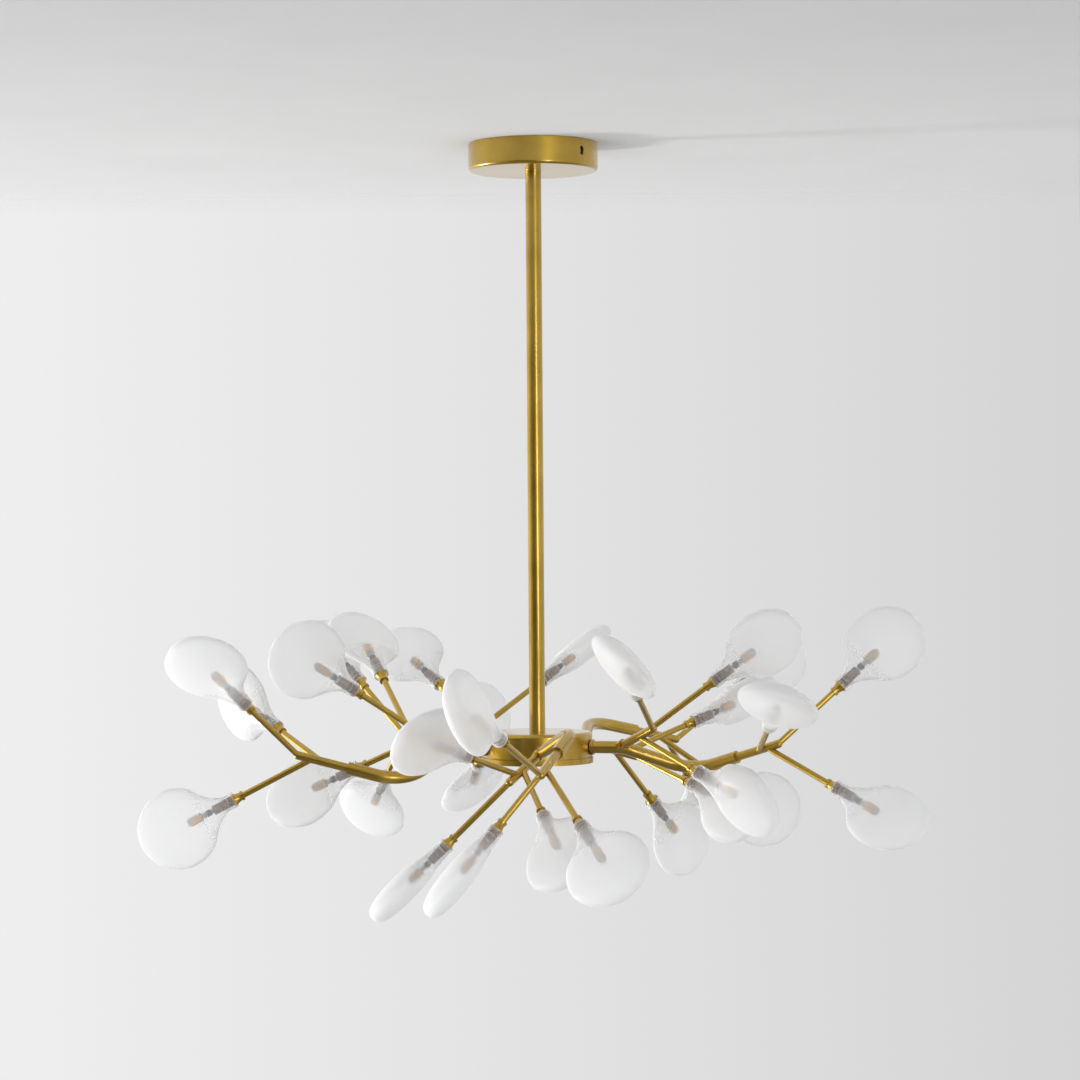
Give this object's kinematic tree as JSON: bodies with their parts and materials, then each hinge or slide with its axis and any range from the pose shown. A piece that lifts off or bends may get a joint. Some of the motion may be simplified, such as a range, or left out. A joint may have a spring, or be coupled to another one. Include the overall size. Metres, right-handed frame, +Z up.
{
  "type": "sputnik chandelier",
  "caption": "Ceiling chandelier: drum hub on a downrod with bent branching arms that swivel, each ending in small LED lamps in flat frosted pebble shades.",
  "frame": {"origin": "centre of the canopy and of the two ceiling screw holes, on the ceiling plane", "axes": "+Z up into the ceiling, -Y towards the viewer of the picture, +X to that viewer's right"},
  "size_m": [0.7698, 0.7261, 0.7606],
  "materials": {
    "satin_gold": "satin metallic gold paint with a fine sparkle",
    "plated_steel": "bright zinc plate",
    "frosted_shade": "frosted translucent white with a glossy skin",
    "lamp_socket": "dark brown moulded socket",
    "led_capsule": "clear capsule with amber light strips",
    "driver_case": "white moulded case",
    "terminal_plastic": "off-white moulded block"
  },
  "bodies": {
    "fixture": {"ceiling_bracket": "plated_steel", "canopy_cover": "satin_gold", "rod_top_nipple": "plated_steel", "nipple_nuts": "plated_steel", "led_driver": "driver_case", "terminal_block": "terminal_plastic", "downrod_upper": "satin_gold", "downrod_lower": "satin_gold", "rod_coupler": "plated_steel", "hub_drum": "satin_gold", "hub_lid": "satin_gold", "hub_rod_nut": "plated_steel", "lid_screws": "plated_steel"},
    "back_right_arm": {"back_right_arm_tube": "satin_gold", "back_right_arm_nut": "plated_steel", "back_right_outer_branch": "satin_gold", "back_right_inner_branch": "satin_gold", "back_right_lamp_cups": "satin_gold", "back_right_lamp_sockets": "lamp_socket", "back_right_led_capsules": "led_capsule", "back_right_outer_shades": "frosted_shade", "back_right_inner_shades": "frosted_shade"},
    "back_left_arm": {"back_left_arm_tube": "satin_gold", "back_left_arm_nut": "plated_steel", "back_left_outer_branch": "satin_gold", "back_left_inner_branch": "satin_gold", "back_left_lamp_cups": "satin_gold", "back_left_lamp_sockets": "lamp_socket", "back_left_led_capsules": "led_capsule", "back_left_outer_shades": "frosted_shade", "back_left_inner_shades": "frosted_shade"},
    "left_arm": {"left_arm_tube": "satin_gold", "left_arm_nut": "plated_steel", "left_outer_branch": "satin_gold", "left_inner_branch": "satin_gold", "left_lamp_cups": "satin_gold", "left_lamp_sockets": "lamp_socket", "left_led_capsules": "led_capsule", "left_outer_shades": "frosted_shade", "left_inner_shades": "frosted_shade"},
    "front_arm": {"front_arm_tube": "satin_gold", "front_arm_nut": "plated_steel", "front_outer_branch": "satin_gold", "front_inner_branch": "satin_gold", "front_lamp_cups": "satin_gold", "front_lamp_sockets": "lamp_socket", "front_led_capsules": "led_capsule", "front_outer_shades": "frosted_shade", "front_inner_shades": "frosted_shade"},
    "right_arm": {"right_arm_tube": "satin_gold", "right_arm_nut": "plated_steel", "right_outer_branch": "satin_gold", "right_inner_branch": "satin_gold", "right_lamp_cups": "satin_gold", "right_lamp_sockets": "lamp_socket", "right_led_capsules": "led_capsule", "right_outer_shades": "frosted_shade", "right_inner_shades": "frosted_shade"}
  },
  "joints": [
    {"name": "back_right_arm_swivel", "type": "hinge", "parent": "fixture", "child": "back_right_arm", "pos_m": [0.02995, 0.04613, -0.602], "axis": [0.5446, 0.8387, 0], "range_deg": [0, 30]},
    {"name": "back_left_arm_swivel", "type": "hinge", "parent": "fixture", "child": "back_left_arm", "pos_m": [-0.03461, 0.04274, -0.602], "axis": [-0.6293, 0.7771, 0], "range_deg": [-25, 45]},
    {"name": "left_arm_swivel", "type": "hinge", "parent": "fixture", "child": "left_arm", "pos_m": [-0.05135, -0.01971, -0.602], "axis": [-0.9336, -0.3584, 0], "range_deg": [-45, 45]},
    {"name": "front_arm_swivel", "type": "hinge", "parent": "fixture", "child": "front_arm", "pos_m": [0.00288, -0.05493, -0.602], "axis": [0.0523, -0.9986, 0], "range_deg": [-30, 30]},
    {"name": "right_arm_swivel", "type": "hinge", "parent": "fixture", "child": "right_arm", "pos_m": [0.05313, -0.01423, -0.602], "axis": [0.9659, -0.2588, 0], "range_deg": [-45, 20]}
  ]
}
